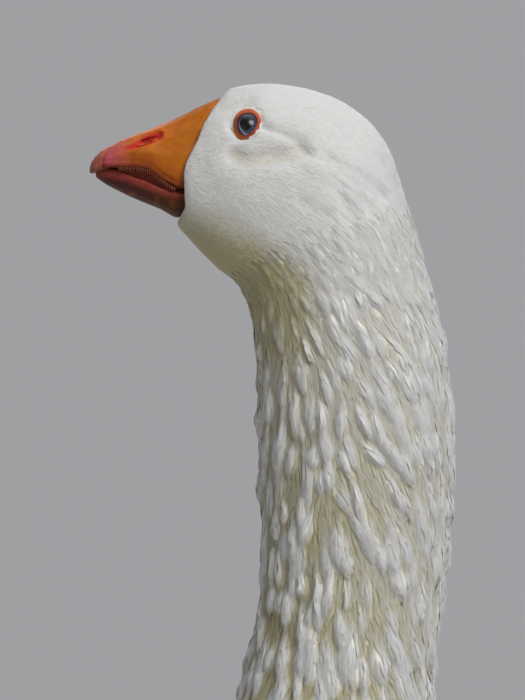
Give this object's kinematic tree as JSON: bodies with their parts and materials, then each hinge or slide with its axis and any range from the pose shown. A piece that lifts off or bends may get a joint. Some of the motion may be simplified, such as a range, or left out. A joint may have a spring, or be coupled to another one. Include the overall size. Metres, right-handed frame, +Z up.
{
  "type": "domestic goose",
  "caption": "White farmyard goose standing alert on webbed feet, with a raised thick neck, an orange bill and folded wings.",
  "frame": {"origin": "on the floor, at the centre of the footprint of the goose's bounding box", "axes": "+Z up, along the greatest size; the goose faces -Y and its left side is +X, the smallest size"},
  "size_m": [0.2794, 0.6282, 0.8294],
  "materials": {
    "plumage": "white overlapping feathers, matt, cream in the furrows",
    "bill": "satin orange horn skin",
    "bill_nail": "smooth pink horn",
    "eyelid": "bare wrinkled orange-red skin",
    "eye": "wet and glossy, blue-grey iris round a black pupil",
    "leg_skin": "scaly orange skin",
    "claw": "pale horn"
  },
  "bodies": {
    "root": {"head": "plumage", "neck_upper": "plumage", "neck_lower": "plumage", "trunk": "plumage", "tail": "plumage", "upper_bill": "bill", "bill_nail": "bill_nail", "lower_bill": "bill", "eye_left": "eye", "eye_right": "eye", "eyelid_left": "eyelid", "eyelid_right": "eyelid", "wing_left": "plumage", "wing_right": "plumage", "thigh_left": "plumage", "thigh_right": "plumage", "shank_left": "leg_skin", "shank_right": "leg_skin", "foot_left": "leg_skin", "foot_right": "leg_skin", "claw_inner_left": "claw", "claw_inner_right": "claw", "claw_middle_left": "claw", "claw_middle_right": "claw", "claw_outer_left": "claw", "claw_outer_right": "claw"}
  },
  "joints": []
}
